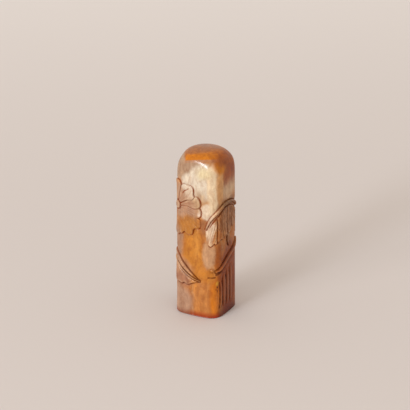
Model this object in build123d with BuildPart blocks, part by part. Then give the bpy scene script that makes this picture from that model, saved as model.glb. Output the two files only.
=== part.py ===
from build123d import *
import os
from math import atan2, cos, pi, radians, sin, sqrt

# Carved stone seal: a square column with soft corners and a domed top.
# A blossom, a drooping leaf, long leaves, a bud and reeds stand in low relief round its sides.
# Lengths are in millimetres. The origin is the middle of the seal face, and +Z runs up the column.
# A place on the sides is given by its distance along the girth, from the middle of the front
# face towards +X, and by its height.

# Stone column
stone_width = 20.0
stone_height = 67.0
dome_height = 9.7
corner_radius = 5.0
face_radius = 60.0
top_inset = 0.37
dome_power = 2.68
dome_flat_share = 0.14
dome_sections = 8

# Seal face, cut back round a rosette of a common kind
border_width = 1.2
carving_depth = 0.8
carving_gap = 0.5
ring_width = 0.9
boss_radius = 1.5
rosette_petals = 8

# Relief: its upright edges, the carved line between neighbours, and how closely it sits and fits
relief_edge = 0.2
cut_gap = 0.3
seat_clearance = 0.01
fit_tolerance = 0.005
pillow_peak_share = 0.65
spot_bulge_share = 0.4
petal_steps = (20, 20)
band_steps = (30, 6)
sheet_steps = (12, 44)
spot_steps = (12, 12)

# Reeds on the right face
reed_width = 1.9
reed_pitch = 2.7
reed_up = 3.6
reed_crown = 0.3
reed_corner_clearance = 2.5
reed_tip_share = 0.75
reed_height_shares = [0.72, 0.86, 0.93, 1.0]

# Long leaf low on the right, with a curled bud at its tip
trail_rise = 10.0
trail_width = 2.3
trail_crown = 0.4
trail_tip_share = 0.4
trail_tip_clearance = 0.05
trail_end_clearance = 0.9
trail_tip_hang = 1.1
curl_width = 1.7
curl_lift = 0.6
trail_shares = [
    (0.0, 0.0), (0.13, 0.05), (0.28, 0.17), (0.46, 0.34),
    (0.63, 0.47), (0.80, 0.60), (0.92, 0.76), (1.0, 1.0),
]

# Blossom on the front left corner
blossom_radius = 12.0
blossom_offset = 0.5
heart_radius = 1.8
petal_crown = 0.42
petal_edge_degrees = [-22, -1, 28, 78, 114, 148, 182, 214, 246, 278, 322, 338]
petal_length_shares = [0.94, 0.92, 0.92, 0.87, 0.89, 0.92, 0.95, 0.98, 1.02, 1.05, 0.98]
petal_lobe_counts = [1, 2, 3, 2, 2, 2, 2, 2, 2, 3, 1]
petal_root_share = 0.3
petal_tip_share = 0.14
petal_ruffle_share = 0.02
blossom_stem_width = 1.3
blossom_stem_crown = 0.35
blossom_stem_offset = 4.6
blossom_stem_clearance = 1.4
blossom_stem_lean = 1.2

# Drooping leaf on the front right corner, hanging in lobes from a rolled rim
leaf_drop = 17.0
leaf_below_shoulder = 10.0
leaf_clearance = 1.2
leaf_end_clearance = 1.2
leaf_above_trail = 10.8
rim_width = 1.5
rim_crown = 0.42
lobe_crown = 0.3
lobe_tip_share = 0.08
rim_shares = [
    (0.0, 0.40), (0.05, 0.55), (0.12, 0.67), (0.21, 0.78),
    (0.32, 0.88), (0.45, 0.94), (0.60, 0.95), (0.78, 0.92), (0.92, 0.84), (1.0, 0.72),
]
lobe_top_shares = [
    (0.09, 0.42), (0.15, 0.55), (0.22, 0.66), (0.31, 0.75),
    (0.40, 0.83), (0.50, 0.865), (0.61, 0.87), (0.77, 0.84), (0.89, 0.76), (0.95, 0.67),
]
lobe_foot_shares = [
    (0.05, 0.05), (0.12, 0.0), (0.21, 0.03), (0.28, 0.10),
    (0.38, 0.13), (0.47, 0.16), (0.60, 0.18), (0.73, 0.22), (0.85, 0.32), (0.94, 0.44),
]
lobe_edge_shares = [0.0, 0.22, 0.42, 0.61, 0.80, 1.0]
leaf_stem_width = 0.9
leaf_stem_shares = [(0.58, 0.13), (0.60, 0.0), (0.64, -0.13)]
leaf_stalk_width = 1.2
leaf_stalk_shares = [(0.25, 1.0), (0.45, 0.7), (0.55, 0.35), (0.4, 0.0)]

# Long leaf low on the left, lying across the front left corner
low_leaf_span = 20.2
low_leaf_rise = 13.8
low_leaf_tip_offset = 11.4
low_leaf_below_blossom = 6.2
low_leaf_crown = 0.3
midrib_width = 0.7
low_leaf_top_shares = [
    (0.06, 0.86), (0.20, 0.98), (0.35, 1.0), (0.50, 0.87),
    (0.60, 0.71), (0.70, 0.56), (0.81, 0.41), (0.90, 0.30), (0.97, 0.22),
]
low_leaf_midrib_shares = [
    (0.01, 0.76), (0.18, 0.81), (0.35, 0.75), (0.50, 0.59),
    (0.61, 0.45), (0.71, 0.34), (0.81, 0.26), (0.91, 0.21), (1.0, 0.17),
]
low_leaf_foot_shares = [
    (0.04, 0.64), (0.17, 0.42), (0.32, 0.15), (0.46, 0.01),
    (0.59, 0.0), (0.65, 0.04), (0.72, 0.0), (0.84, 0.07), (0.96, 0.13),
]

# Back face: a closed bud on its stem, a leaf and three reeds
bud_length = 8.0
bud_below_shoulder = 6.3
bud_root = 1.6
bud_crown = 0.45
bud_edge_degrees = [52, 76, 104, 128]
bud_length_shares = [0.88, 1.0, 0.88]
bud_root_share = 0.4
bud_stem_width = 1.2
bud_stem_crown = 0.35
bud_stem_lean = 1.6
bud_stem_shares = [(0.0, 0.0), (0.3, -0.3), (0.8, -0.65), (1.0, -1.0)]
back_leaf_length = 21.0
back_leaf_lean = 1.5
back_leaf_width = 4.6
back_leaf_clearance = 0.3
back_leaf_below_bud = 5.9
back_leaf_crown = 0.32
back_leaf_fullness_share = 0.8
back_leaf_shares = [(0.0, 0.0), (0.12, 0.3), (0.45, 0.68), (1.0, 1.0)]
back_reed_height_shares = [0.58, 0.5]

# The girth: four shallow face arcs, each meeting its neighbours in a tangent corner arc
shoulder_up = stone_height - dome_height
face_middle = face_radius - stone_width / 2
corner_middle = (sqrt(2 * (face_radius - corner_radius) ** 2 - face_middle**2) - face_middle) / 2
face_angle = atan2(corner_middle, face_middle + corner_middle)
face_half = face_radius * face_angle
face_pitch = 2 * face_half + corner_radius * (pi / 2 - 2 * face_angle)
front_left_corner = -face_pitch / 2
front_right_corner = face_pitch / 2
back_right_corner = 3 * face_pitch / 2
back_middle = 2 * face_pitch


def stone_scale(up):
    """How much narrower the stone is at a height: an even taper, then a superelliptical dome."""
    taper = 1 - 2 * top_inset / stone_width * up / stone_height
    climb = min(1.0, max(0.0, (up - shoulder_up) / dome_height))
    dome = (1 - (1 - dome_flat_share**dome_power) * climb**dome_power) ** (1 / dome_power)
    return taper * dome


def on_stone(along, up, out=0.0):
    """Point at a distance along the girth, at a height, and this far out from the stone's skin."""
    face = round(along / face_pitch)
    offset = along - face * face_pitch
    reach = abs(offset)
    if reach <= face_half:
        angle = reach / face_radius
        x = face_radius * sin(angle)
        y = face_middle - face_radius * cos(angle)
    else:
        angle = face_angle + (reach - face_half) / corner_radius
        x = corner_middle + corner_radius * sin(angle)
        y = -corner_middle - corner_radius * cos(angle)
    x = x * stone_scale(up) + out * sin(angle)
    y = y * stone_scale(up) - out * cos(angle)
    if offset < 0:
        x = -x
    return Vector(x, y, up).rotate(Axis.Z, 90 * face)


def stone_section(up, inset=0.0):
    """Sketch of the stone's section at a height, drawn in by an inset."""
    with BuildSketch(Plane.XY.offset(up)) as section:
        with BuildLine():
            for face in range(4):
                middle = face * face_pitch
                corner = middle + face_pitch / 2
                ends = [middle - face_half, middle + face_half, middle + face_pitch - face_half]
                points = [on_stone(place, up) for place in (ends[0], middle, ends[1], corner, ends[2])]
                flat = [(point.X, point.Y) for point in points]
                ThreePointArc(flat[0], flat[1], flat[2])
                ThreePointArc(flat[2], flat[3], flat[4])
        make_face()
        if inset > 0:
            offset(amount=-inset)
    return section.sketch


def finish(piece, name):
    """Name a finished piece and write it."""
    piece.part.label = name
    export_step(piece.part, f"parts/{name}.step")
    print(name, round(piece.part.volume, 2))


def skin(place, rise, steps):
    """Smooth face through a grid of points that lie a rise above the stone."""
    rows = []
    for i in range(steps[0] + 1):
        row = []
        for j in range(steps[1] + 1):
            u, v = i / steps[0], j / steps[1]
            along, up = place(u, v)
            row.append(on_stone(along, up, rise(u, v)))
        rows.append(row)
    return Face.make_surface_from_array_of_points(rows, tol=fit_tolerance, min_deg=3, max_deg=3)


def relief(name, place, rise, steps):
    """Raised shape: an outer skin, a seat on the stone under it, and upright edges between them."""
    outer = skin(place, rise, steps)
    seat = skin(place, lambda u, v: seat_clearance, steps)
    edges = [Face.make_surface_from_curves(a, b) for a, b in zip(outer.edges(), seat.edges())]
    shape = Solid(Shell([outer, seat, *edges]))
    with BuildPart() as piece:
        add(shape)
    finish(piece, name)


def pillow(crown, root_share=1.0):
    """Rise that is highest along the middle, and starts at a share of the crown where u is 0."""
    def rise(u, v):
        swell = root_share + (1 - root_share) * sin(pillow_peak_share * pi * u)
        return relief_edge + crown * 4 * v * (1 - v) * swell
    return rise


def mound(crown):
    """Rise that is highest in the centre of a shape."""
    def rise(u, v):
        return relief_edge + crown * 16 * u * (1 - u) * v * (1 - v)
    return rise


def line(shares, along, up, span, rise):
    """Smooth line through points given as shares of a span along the girth and of a rise."""
    return Spline(*[(along + span * a, up + rise * b) for a, b in shares])


def petal_place(along, up, root, length, start, end, lobes):
    """Petal between two directions, in degrees, from its root at u = 0 to a lobed tip at u = 1."""
    def place(u, v):
        ruffle = petal_ruffle_share * cos(2 * pi * lobes * v)
        tip = length * (1 - petal_tip_share * (2 * v - 1) ** 4 - ruffle)
        radius = root + (tip - root) * u
        gap = cut_gap / 2 / radius
        angle = radians(start) + gap + (radians(end - start) - 2 * gap) * v
        return along + radius * cos(angle), up + radius * sin(angle)
    return place


def sheet_place(near, far, start=0.0, end=1.0, tip_share=0.0):
    """Patch from the near line at u = 0 to the far line at u = 1, between two shares of the lines."""
    gap = cut_gap / 2 / min(near.length, far.length)
    def place(u, v):
        share = start + gap + (end - start - 2 * gap) * v
        depth = u * (1 - tip_share * (2 * v - 1) ** 2)
        point = near @ share + (far @ share - near @ share) * depth
        return point.X, point.Y
    return place


def band_place(path, low, high):
    """Band along a path, from an offset low(u) to an offset high(u) on its left."""
    def place(u, v):
        middle = path @ u
        ahead = path % u
        offset = low(u) + (high(u) - low(u)) * v
        return middle.X - ahead.Y * offset, middle.Y + ahead.X * offset
    return place


def stem_place(path, width, tip_share=0.5):
    """Band of a width, centred on a path, that narrows to a share of its width at both ends."""
    def half(u):
        return width / 2 * (tip_share + (1 - tip_share) * sin(pi * u))
    return band_place(path, lambda u: -half(u), half)


def spot_place(along, up, width, height):
    """Round spot, as a square grid whose sides bulge."""
    def place(u, v):
        a, b = 2 * u - 1, 2 * v - 1
        side = width / 2 * a * sqrt(1 - spot_bulge_share * b**2)
        rise = height / 2 * b * sqrt(1 - spot_bulge_share * a**2)
        return along + side, up + rise
    return place


def reed(name, along, height):
    """Upright reed on the common foot line."""
    path = Line((along, reed_up), (along, reed_up + height))
    relief(name, stem_place(path, reed_width, reed_tip_share), pillow(reed_crown), band_steps)


def beside(path, distance):
    """Line that runs beside a path, at a distance on its left."""
    shares = [i / band_steps[0] for i in range(band_steps[0] + 1)]
    return Spline(*[path @ u + (path % u).rotate(Axis.Z, 90) * distance for u in shares])


os.makedirs("parts", exist_ok=True)

# The stone, with its foot cut back inside a plain border
with BuildPart() as stone_column:
    add(stone_section(0.0))
    add(stone_section(shoulder_up))
    loft(ruled=True)
    for i in range(dome_sections + 1):
        add(stone_section(shoulder_up + dome_height * sin(pi / 2 * i / dome_sections)))
    loft()
    add(stone_section(0.0, border_width))
    extrude(amount=carving_depth, mode=Mode.SUBTRACT)
finish(stone_column, "stone_column")

# Seal face: a ring inside the border, a rosette inside the ring and a dot in each corner
ring_radius = stone_width / 2 - border_width - carving_gap
rosette_inner = boss_radius + carving_gap
rosette_outer = ring_radius - ring_width - carving_gap
rosette_middle = (rosette_inner + rosette_outer) / 2
rosette_petal_width = 2 * pi * rosette_middle / rosette_petals - carving_gap
pocket_reach = sqrt(2) * corner_middle + corner_radius - border_width
dot_radius = (pocket_reach - ring_radius) / 2 - carving_gap

with BuildPart() as seal_ring:
    with BuildSketch():
        Circle(ring_radius)
        Circle(ring_radius - ring_width, mode=Mode.SUBTRACT)
    extrude(amount=carving_depth)
finish(seal_ring, "seal_ring")

with BuildPart() as seal_rosette:
    with BuildSketch():
        Circle(boss_radius)
        with PolarLocations(rosette_middle, rosette_petals):
            Ellipse((rosette_outer - rosette_inner) / 2, rosette_petal_width / 2)
    extrude(amount=carving_depth)
finish(seal_rosette, "seal_rosette")

with BuildPart() as seal_corner_dots:
    with BuildSketch():
        with PolarLocations((pocket_reach + ring_radius) / 2, 4, start_angle=45):
            Circle(dot_radius)
    extrude(amount=carving_depth)
finish(seal_corner_dots, "seal_corner_dots")

# Blossom: a round heart with petals all round it, wrapped over the front left corner
blossom_along = front_left_corner + blossom_offset
blossom_up = shoulder_up - blossom_radius
blossom_foot_up = blossom_up - blossom_radius * max(petal_length_shares)
relief(
    "blossom_heart",
    spot_place(blossom_along, blossom_up, 2 * heart_radius, 2 * heart_radius),
    mound(petal_crown),
    spot_steps,
)
for k, share in enumerate(petal_length_shares):
    relief(
        f"blossom_petal_{k + 1:02d}",
        petal_place(
            blossom_along,
            blossom_up,
            heart_radius + cut_gap,
            blossom_radius * share,
            petal_edge_degrees[k],
            petal_edge_degrees[k + 1],
            petal_lobe_counts[k],
        ),
        pillow(petal_crown, petal_root_share),
        petal_steps,
    )

# Long leaf low on the left: a blade on each side of a midrib
low_leaf_along = front_left_corner + low_leaf_tip_offset - low_leaf_span
low_leaf_up = blossom_foot_up - low_leaf_below_blossom - low_leaf_rise
low_leaf_box = (low_leaf_along, low_leaf_up, low_leaf_span, low_leaf_rise)
low_leaf_top = line(low_leaf_top_shares, *low_leaf_box)
low_leaf_midrib = line(low_leaf_midrib_shares, *low_leaf_box)
low_leaf_foot = line(low_leaf_foot_shares, *low_leaf_box)
midrib_reach = midrib_width / 2 + cut_gap
relief(
    "low_leaf_upper_blade",
    sheet_place(beside(low_leaf_midrib, midrib_reach), low_leaf_top),
    mound(low_leaf_crown),
    sheet_steps,
)
relief("low_leaf_midrib", stem_place(low_leaf_midrib, midrib_width), pillow(low_leaf_crown), band_steps)
relief(
    "low_leaf_lower_blade",
    sheet_place(beside(low_leaf_midrib, -midrib_reach), low_leaf_foot),
    mound(low_leaf_crown),
    sheet_steps,
)

# The blossom's stem, down the left face past the base of that leaf
stem_side_along = low_leaf_along - blossom_stem_clearance
blossom_stem_path = Spline(
    (blossom_along - blossom_stem_offset, blossom_foot_up - cut_gap),
    (stem_side_along, (low_leaf_midrib @ 0).Y),
    (stem_side_along - blossom_stem_lean, reed_up),
)
relief(
    "blossom_stem",
    stem_place(blossom_stem_path, blossom_stem_width, reed_tip_share),
    pillow(blossom_stem_crown),
    band_steps,
)

# Places on the right face, from the dome down: drooping leaf, long leaf, then the reeds under it
leaf_along = blossom_along + blossom_radius + leaf_clearance
leaf_up = shoulder_up - leaf_below_shoulder - leaf_drop
leaf_span = back_right_corner - leaf_along - leaf_end_clearance
trail_along = front_right_corner + trail_tip_clearance
trail_up = leaf_up - leaf_above_trail
trail_span = back_right_corner - trail_along - trail_end_clearance
reed_height = trail_up + trail_tip_hang - reed_up

# Drooping leaf: a rolled rim over the front right corner, five lobes under it, and two stems
leaf_box = (leaf_along, leaf_up, leaf_span, leaf_drop)
rim_path = line(rim_shares, *leaf_box)
lobe_top = line(lobe_top_shares, *leaf_box)
lobe_foot = line(lobe_foot_shares, *leaf_box)
relief("leaf_rim", stem_place(rim_path, rim_width), pillow(rim_crown), band_steps)
for k in range(len(lobe_edge_shares) - 1):
    relief(
        f"leaf_lobe_{k + 1}",
        sheet_place(lobe_top, lobe_foot, lobe_edge_shares[k], lobe_edge_shares[k + 1], lobe_tip_share),
        pillow(lobe_crown),
        petal_steps,
    )
leaf_stem_path = line(leaf_stem_shares, *leaf_box)
relief("leaf_stem", stem_place(leaf_stem_path, leaf_stem_width), pillow(lobe_crown), band_steps)

# The leaf's stalk, from the long leaf's end up to the end of the rim
stalk_foot_up = trail_up + trail_rise + trail_width / 2 + cut_gap
stalk_top_up = (rim_path @ 1).Y - rim_width / 2 - cut_gap
leaf_stalk_path = line(
    leaf_stalk_shares,
    back_right_corner - leaf_end_clearance,
    stalk_foot_up,
    leaf_end_clearance,
    stalk_top_up - stalk_foot_up,
)
relief(
    "leaf_stalk",
    stem_place(leaf_stalk_path, leaf_stalk_width, reed_tip_share),
    pillow(rim_crown),
    band_steps,
)

# Long leaf low on the right, rising to the back right corner, with its curled bud
trail_path = line(trail_shares, trail_along, trail_up, trail_span, trail_rise)
relief(
    "trailing_leaf",
    stem_place(trail_path, trail_width, trail_tip_share),
    pillow(trail_crown),
    band_steps,
)
curl_along = trail_along - cut_gap - curl_width / 2
relief(
    "trailing_leaf_curl",
    spot_place(curl_along, trail_up + curl_lift, curl_width, curl_width),
    mound(trail_crown),
    spot_steps,
)

# Reeds on the right face, all standing on one line
first_reed = front_right_corner + reed_corner_clearance
for k, share in enumerate(reed_height_shares):
    reed(f"reed_{k + 1}", first_reed + k * reed_pitch, reed_height * share)

# Back face: a bud of three petals on its stem, and a leaf beside the stem
bud_up = shoulder_up - bud_below_shoulder - bud_length
for k, share in enumerate(bud_length_shares):
    relief(
        f"bud_petal_{k + 1}",
        petal_place(
            back_middle,
            bud_up,
            bud_root + cut_gap,
            bud_length * share,
            bud_edge_degrees[k],
            bud_edge_degrees[k + 1],
            1,
        ),
        pillow(bud_crown, bud_root_share),
        petal_steps,
    )
relief("bud_cup", spot_place(back_middle, bud_up, 2 * bud_root, 2 * bud_root), mound(bud_crown), spot_steps)
bud_stem_top = bud_up - bud_root - cut_gap
bud_stem_path = line(bud_stem_shares, back_middle, bud_stem_top, bud_stem_lean, bud_stem_top - reed_up)
relief(
    "bud_stem",
    stem_place(bud_stem_path, bud_stem_width, reed_tip_share),
    pillow(bud_stem_crown),
    band_steps,
)

back_leaf_along = back_middle - (bud_stem_width + back_leaf_width) / 2 - back_leaf_clearance
back_leaf_up = bud_up - bud_root - back_leaf_below_bud - back_leaf_length
back_leaf_path = line(back_leaf_shares, back_leaf_along, back_leaf_up, -back_leaf_lean, back_leaf_length)


def back_leaf_half(u):
    """Half width of the back leaf: full low down and pointed at its tip."""
    swell = sin(pi * u**back_leaf_fullness_share)
    return midrib_reach + cut_gap + (back_leaf_width / 2 - midrib_reach) * swell


relief("back_leaf_midrib", stem_place(back_leaf_path, midrib_width), pillow(back_leaf_crown), band_steps)
for side, name in ((1, "back_leaf_outer_blade"), (-1, "back_leaf_inner_blade")):
    relief(
        name,
        band_place(back_leaf_path, lambda u: side * midrib_reach, lambda u: side * back_leaf_half(u)),
        mound(back_leaf_crown),
        band_steps,
    )

# Two short reeds beside the foot of the bud's stem
for k, share in enumerate(back_reed_height_shares):
    reed(f"back_reed_{k + 1}", back_middle + bud_stem_lean + (k + 1) * reed_pitch, reed_height * share)
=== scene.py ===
import math

import bpy
import numpy as np
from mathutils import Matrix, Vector


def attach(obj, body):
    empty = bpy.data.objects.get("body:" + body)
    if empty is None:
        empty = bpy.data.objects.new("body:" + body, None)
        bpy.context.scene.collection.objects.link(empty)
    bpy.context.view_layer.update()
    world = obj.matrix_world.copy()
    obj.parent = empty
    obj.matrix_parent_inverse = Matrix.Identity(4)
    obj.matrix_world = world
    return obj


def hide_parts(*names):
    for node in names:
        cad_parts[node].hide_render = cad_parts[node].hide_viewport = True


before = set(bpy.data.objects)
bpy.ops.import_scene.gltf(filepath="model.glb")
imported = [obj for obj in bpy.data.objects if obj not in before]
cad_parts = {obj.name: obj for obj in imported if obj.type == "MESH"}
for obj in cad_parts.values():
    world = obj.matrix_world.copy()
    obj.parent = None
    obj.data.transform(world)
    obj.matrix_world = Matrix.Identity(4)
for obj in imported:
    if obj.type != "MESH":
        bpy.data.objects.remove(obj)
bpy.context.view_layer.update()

# The table where the seal stands, seen from a little above its front right corner.
# A pale, seamless sheet of paper, with a low soft lamp near the middle of the front face
# and pale walls all round.
paper_size, paper_drop = 6.0, 0.00002
paper_colour, far_paper_colour = (0.664, 0.603, 0.570), (0.845, 0.800, 0.768)
paper_far = (0.05, 0.75)
room_colour = (0.825, 0.765, 0.705)
lamp_colour = (0.92, 1.0, 1.1)
lamp_turn, lamp_height, lamp_distance, lamp_size, lamp_power = -10.0, 19.5, 3.0, 0.72, 36.0
glow_turn, glow_height, glow_size, glow_power = -23.0, 20.0, (1.1, 0.9), 21.0
lamp_aim = Vector((0.0, 0.0, 0.03))
film_width, view_width = 36.0, 0.1623
eye_turn, eye_height, eye_distance = 27.9, 24.7, 0.804
eye_aim_up, eye_aim_left = 0.04015, 0.00044


def from_centre(turn, height, distance):
    """Point at a turn from the front face's normal, a height in degrees, and a distance."""
    a, e = math.radians(turn), math.radians(height)
    return Vector((math.sin(a) * math.cos(e), -math.cos(a) * math.cos(e), math.sin(e))) * distance


def look(thing, place, target):
    """Stand a camera or lamp at a place, facing a target, with its top upwards."""
    thing.location = place
    thing.rotation_euler = (target - place).to_track_quat("-Z", "Y").to_euler()
    bpy.context.scene.collection.objects.link(thing)


camera = bpy.data.objects.new("camera", bpy.data.cameras.new("camera"))
camera.data.sensor_width = film_width
camera.data.lens = film_width * eye_distance / view_width
camera.data.clip_start, camera.data.clip_end = 0.01, 20.0
eye = from_centre(eye_turn, eye_height, eye_distance)
eye_right = Vector((math.cos(math.radians(eye_turn)), math.sin(math.radians(eye_turn)), 0.0))
eye_up = eye_right.cross(-eye.normalized())
look(camera, eye, eye_up * eye_aim_up - eye_right * eye_aim_left)
bpy.context.scene.camera = camera

lamp_data = bpy.data.lights.new("front_lamp", "AREA")
lamp_data.shape, lamp_data.size = "DISK", lamp_size
lamp_data.energy, lamp_data.color = lamp_power, lamp_colour
lamp = bpy.data.objects.new("front_lamp", lamp_data)
look(lamp, from_centre(lamp_turn, lamp_height, lamp_distance), lamp_aim)

# The lamp's dim edge, which draws its gleam out along the dome's shoulder
glow_data = bpy.data.lights.new("lamp_glow", "AREA")
glow_data.shape, glow_data.size, glow_data.size_y = "ELLIPSE", *glow_size
glow_data.energy = glow_power
glow = bpy.data.objects.new("lamp_glow", glow_data)
look(glow, from_centre(glow_turn, glow_height, lamp_distance), lamp_aim)

room = bpy.data.worlds.new("room")
room.use_nodes = True
room.node_tree.nodes["Background"].inputs["Color"].default_value = (*room_colour, 1.0)
room.node_tree.nodes["Background"].inputs["Strength"].default_value = 1.0
bpy.context.scene.world = room
bpy.context.scene.view_settings.view_transform = "Standard"


class Shade:
    """One output of a node tree. Sums on it add Math nodes; numbers alone stay in Python."""

    def __init__(self, tree, socket=None):
        self.tree, self.socket = tree, socket

    def node(self, kind, inputs, settings=None, out=0):
        """Add a node of a kind, with its settings, a ramp's stops, and its inputs' values."""
        node = self.tree.nodes.new(kind)
        for name, value in (settings or {}).items():
            if name == "stops":
                while len(node.color_ramp.elements) < len(value):
                    node.color_ramp.elements.new(1.0)
                for stop, (place, colour) in zip(node.color_ramp.elements, value):
                    stop.position, stop.color = place, (*colour, 1.0)
            else:
                setattr(node, name, value)
        for name, value in inputs.items():
            if isinstance(value, Shade):
                self.tree.links.new(value.socket, node.inputs[name])
            else:
                node.inputs[name].default_value = value
        return Shade(self.tree, node.outputs[out])

    def maths(self, operation, a, b=0.0):
        return self.node("ShaderNodeMath", {0: a, 1: b}, {"operation": operation})

    def __add__(self, other):
        return self.maths("ADD", self, other)

    def __radd__(self, other):
        return self.maths("ADD", other, self)

    def __sub__(self, other):
        return self.maths("SUBTRACT", self, other)

    def __rsub__(self, other):
        return self.maths("SUBTRACT", other, self)

    def __mul__(self, other):
        return self.maths("MULTIPLY", self, other)

    def ease(self, low, high):
        """0 below low, 1 above high, and a soft S between them."""
        settings = {"interpolation_type": "SMOOTHSTEP"}
        return self.node("ShaderNodeMapRange", {0: self, 1: low, 2: high, 3: 0.0, 4: 1.0}, settings)

    def moved(self, operation, vector):
        """This vector with another added, multiplied or taken away."""
        return self.node("ShaderNodeVectorMath", {0: self, 1: vector}, {"operation": operation})

    def axis(self, number):
        """One coordinate of this vector: 0, 1 or 2 for x, y or z."""
        return self.node("ShaderNodeSeparateXYZ", {0: self}, out=number)

    def towards(self, way):
        """How far this place lies along a direction."""
        settings = {"operation": "DOT_PRODUCT"}
        return self.node("ShaderNodeVectorMath", {0: self, 1: way}, settings, 1)

    def noise(self, scale, detail=2.0, rough=0.5, out=0):
        """Cloudy noise over this place, in cells per millimetre; out 1 gives it as a colour."""
        inputs = {"Vector": self, "Scale": scale, "Detail": detail, "Roughness": rough}
        return self.node("ShaderNodeTexNoise", inputs, out=out)

    def mixed(self, other, share, blend="MIX"):
        """This colour, with a share of another laid over it or blended with it another way."""
        settings = {"data_type": "RGBA", "blend_type": blend}
        return self.node("ShaderNodeMix", {0: share, 6: self, 7: other}, settings, 2)


def new_material(name):
    """A material, its bare tree, and its main shader."""
    material = bpy.data.materials.new(name)
    material.use_nodes = True
    tree = material.node_tree
    return material, Shade(tree), tree.nodes["Principled BSDF"]


def fill(shader, values):
    """Set or link a shader's sockets by name."""
    for name, value in values.items():
        if isinstance(value, Shade):
            value.tree.links.new(value.socket, shader.inputs[name])
        else:
            shader.inputs[name].default_value = value


paper, tree, shader = new_material("paper")
place = tree.node("ShaderNodeTexCoord", {}, out=3)
fibre = place.noise(900.0, 3.0)
# Further back the paper is painted paler: painted light on the far part of the sheet
back = place.towards((-0.47, 0.88, 0.0))
sweep = tree.node(
    "ShaderNodeMix",
    {0: back.ease(*paper_far), 6: (*paper_colour, 1.0), 7: (*far_paper_colour, 1.0)},
    {"data_type": "RGBA"},
    2,
)
tone = sweep.mixed((0.97, 0.97, 0.97, 1.0), fibre * 0.5, "MULTIPLY")
fill(shader, {"Base Color": tone, "Roughness": 0.8, "Specular IOR Level": 0.2})
half = paper_size / 2
sheet = bpy.data.meshes.new("paper")
around = ((-1, -1), (1, -1), (1, 1), (-1, 1))
sheet.from_pydata([(half * x, half * y, -paper_drop) for x, y in around], [], [(0, 1, 2, 3)])
sheet.materials.append(paper)
floor = bpy.data.objects.new("paper", sheet)
bpy.context.scene.collection.objects.link(floor)

# The blank: one square stick of soft carving stone, its faces a little crowned, its corners
# rounded and its top worn to a dome, ground smooth by hand before anything is cut. The sections
# after it cut into its fields, and it becomes a mesh once all of them are drawn.
width, height, dome = 20.0, 67.0, 11.2
face_bend, corner_bend, top_inset, dome_power, crown_reach = 60.0, 5.0, 0.37, 3.1, 11.2
shoulder = height - dome
face_middle = face_bend - width / 2
corner_middle = (math.sqrt(2 * (face_bend - corner_bend) ** 2 - face_middle**2) - face_middle) / 2
face_angle = math.atan2(corner_middle, face_middle + corner_middle)
face_half = face_bend * face_angle
pitch = 2 * face_half + corner_bend * (math.pi / 2 - 2 * face_angle)
foot_round = 0.35
girth_count, side_count = 288, 262


def narrowing(up):
    """How much narrower the stone is at a height: an even taper, and a superellipse over the
    dome."""
    climb = np.clip((up - shoulder) / dome, 0, 1)
    return (1 - 2 * top_inset / width * up / height) * (1 - climb**dome_power) ** (1 / dome_power)


def skin(along, up, out=0.0):
    """Point on the stone at a distance along its girth and a height, moved out along the face.
    Each quarter of the girth is a wide arc that runs into a corner arc on both sides, and over
    the upper half of the dome the girth turns into a circle."""
    face = np.round(along / pitch)
    offset = along - face * pitch
    reach = np.abs(offset)
    wide = reach <= face_half
    angle = np.where(wide, reach / face_bend, face_angle + (reach - face_half) / corner_bend)
    bend = np.where(wide, face_bend, corner_bend)
    x = np.where(wide, 0.0, corner_middle) + bend * np.sin(angle)
    y = np.where(wide, face_middle, -corner_middle) - bend * np.cos(angle)
    climb = np.clip(2 * (up - shoulder) / dome - 1, 0, 1)
    turned_round = climb * climb * (3 - 2 * climb)
    size = narrowing(up) * (1 + turned_round * (crown_reach / np.hypot(x, y) - 1))
    x = np.where(offset < 0, -1, 1) * (x * size + out * np.sin(angle))
    y = y * size - out * np.cos(angle)
    turn = face * math.pi / 2
    turned = [x * np.cos(turn) - y * np.sin(turn), x * np.sin(turn) + y * np.cos(turn), up + 0 * x]
    return np.stack(turned, -1) / 1000


# Places on the sides are in millimetres: along the girth from the front face's middle, and up
girth = np.arange(girth_count) * 4 * pitch / girth_count - 2 * pitch
side = foot_round + (shoulder - foot_round) * np.arange(side_count) / (side_count - 1)
stone_along, stone_up = np.meshgrid(girth, side)
stone_out, stone_cut = np.zeros(stone_up.shape), np.zeros(stone_up.shape)

# The stone: warm orange and tan, clouded with cream, banded with amber and stained purple-brown,
# as natural carving stone is. It runs through the whole stick, so every carved piece shares
# it. The polish leaves a clear gloss on the heights, a painted highlight pales the crests,
# and the cut lines keep a dark red stain.
def blotch(place, middle, reach, soft):
    """Share of a soft-edged ellipsoid at a place in millimetres: 1 inside, and 0 outside."""
    away = place.moved("SUBTRACT", middle).moved("DIVIDE", reach)
    length = away.node("ShaderNodeVectorMath", {0: away}, {"operation": "LENGTH"}, 1)
    return 1 - length.ease(1 - soft, 1 + soft)


def paint(r, g, b):
    """Linear colour of a screen colour given in 0 to 255."""
    return tuple(((c / 255 + 0.055) / 1.055) ** 2.4 for c in (r, g, b))


def colour(r, g, b):
    """A screen colour as a socket takes it."""
    return (*paint(r, g, b), 1.0)


stone, tree, shader = new_material("carved_stone")
raw = tree.node("ShaderNodeTexCoord", {}, out=3).moved("MULTIPLY", (1000.0, 1000.0, 1000.0))
drift = raw.moved("MULTIPLY", (0.16, 0.16, 0.09)).noise(1.0, 3.0, 0.55, out=1)
drift = drift.moved("SUBTRACT", (0.5, 0.5, 0.5)).moved("MULTIPLY", (6.0, 6.0, 7.0))
place = raw.moved("ADD", drift)
fine_drift = raw.noise(0.7, 3.0, 0.6, out=1).moved("SUBTRACT", (0.5, 0.5, 0.5))
place = place.moved("ADD", fine_drift.moved("MULTIPLY", (1.6, 1.6, 2.2)))

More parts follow.
